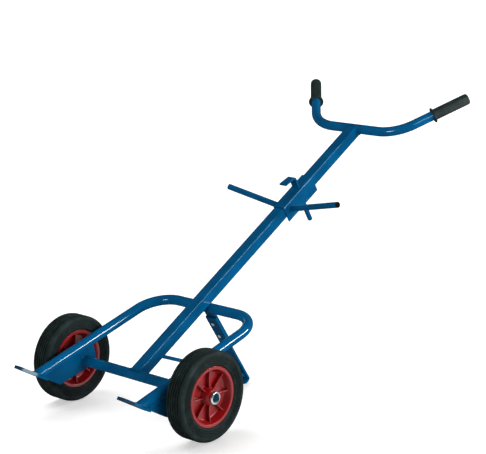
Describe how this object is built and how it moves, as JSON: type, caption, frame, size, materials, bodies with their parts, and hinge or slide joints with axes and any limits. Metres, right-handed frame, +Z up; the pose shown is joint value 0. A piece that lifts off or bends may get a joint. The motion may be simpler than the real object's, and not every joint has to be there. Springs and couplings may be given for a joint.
{
  "type": "two-wheeled drum trolley",
  "caption": "Blue tubular steel drum trolley with a sliding rim clamp on its pole, red-rimmed rubber wheels and a rear stand",
  "frame": {"origin": "on the floor, under the middle of the part's bounding box", "axes": "X along the axle, to the right seen from behind the toes looking to the handle; Y level, from the toes back to the grips; Z up"},
  "size_m": [0.6316, 1.4198, 0.8262],
  "materials": {
    "blue_paint": "glossy stoved enamel",
    "tyre_rubber": "matt moulded rubber",
    "red_plastic": "moulded, satin to glossy",
    "black_grip": "moulded with a fine raised pattern",
    "black_plastic": "moulded",
    "bush_plastic": "moulded",
    "zinc_steel": "bright zinc plate",
    "bright_cap": "polished, with a plain dark blue centre"
  },
  "bodies": {
    "frame": {"central_pole": "blue_paint", "handlebar": "blue_paint", "left_grip": "black_grip", "right_grip": "black_grip", "cradle_bow": "blue_paint", "left_side_plate": "blue_paint", "right_side_plate": "blue_paint", "left_toe": "blue_paint", "right_toe": "blue_paint", "axle_tube": "blue_paint", "axle": "zinc_steel", "left_spacer": "zinc_steel", "right_spacer": "zinc_steel", "left_washer": "zinc_steel", "right_washer": "zinc_steel", "left_axle_cap": "bright_cap", "right_axle_cap": "bright_cap", "stand_bracket": "blue_paint", "stand_leg": "blue_paint", "stand_brace": "blue_paint", "stand_bolts": "zinc_steel", "stand_nuts": "zinc_steel"},
    "left_wheel": {"left_tyre": "tyre_rubber", "left_rim": "red_plastic", "left_inner_bush": "bush_plastic", "left_outer_bush": "bush_plastic"},
    "right_wheel": {"right_tyre": "tyre_rubber", "right_rim": "red_plastic", "right_inner_bush": "bush_plastic", "right_outer_bush": "bush_plastic"},
    "clamp": {"clamp_sleeve": "blue_paint", "lower_cross_bar": "blue_paint", "upper_cross_bar": "blue_paint", "rim_hook": "blue_paint", "left_clamp_arm": "blue_paint", "right_clamp_arm": "blue_paint", "left_arm_plug": "black_plastic", "right_arm_plug": "black_plastic", "lever_pin": "zinc_steel"},
    "lever": {"clamp_lever": "blue_paint"}
  },
  "joints": [
    {"name": "left_wheel_spin", "type": "hinge", "parent": "frame", "child": "left_wheel", "pos_m": [-0.263, -0.45278, 0.125], "axis": [1, 0, 0], "continuous": true},
    {"name": "right_wheel_spin", "type": "hinge", "parent": "frame", "child": "right_wheel", "pos_m": [0.263, -0.45278, 0.125], "axis": [1, 0, 0], "continuous": true},
    {"name": "clamp_slide", "type": "slide", "parent": "frame", "child": "clamp", "axis": [0, 0.859, 0.512], "range_m": [-0.35, 0.24]},
    {"name": "clamp_lever_turn", "type": "hinge", "parent": "clamp", "child": "lever", "pos_m": [0, 0.26196, 0.51963], "axis": [1, 0, 0], "range_deg": [0, 45]}
  ]
}
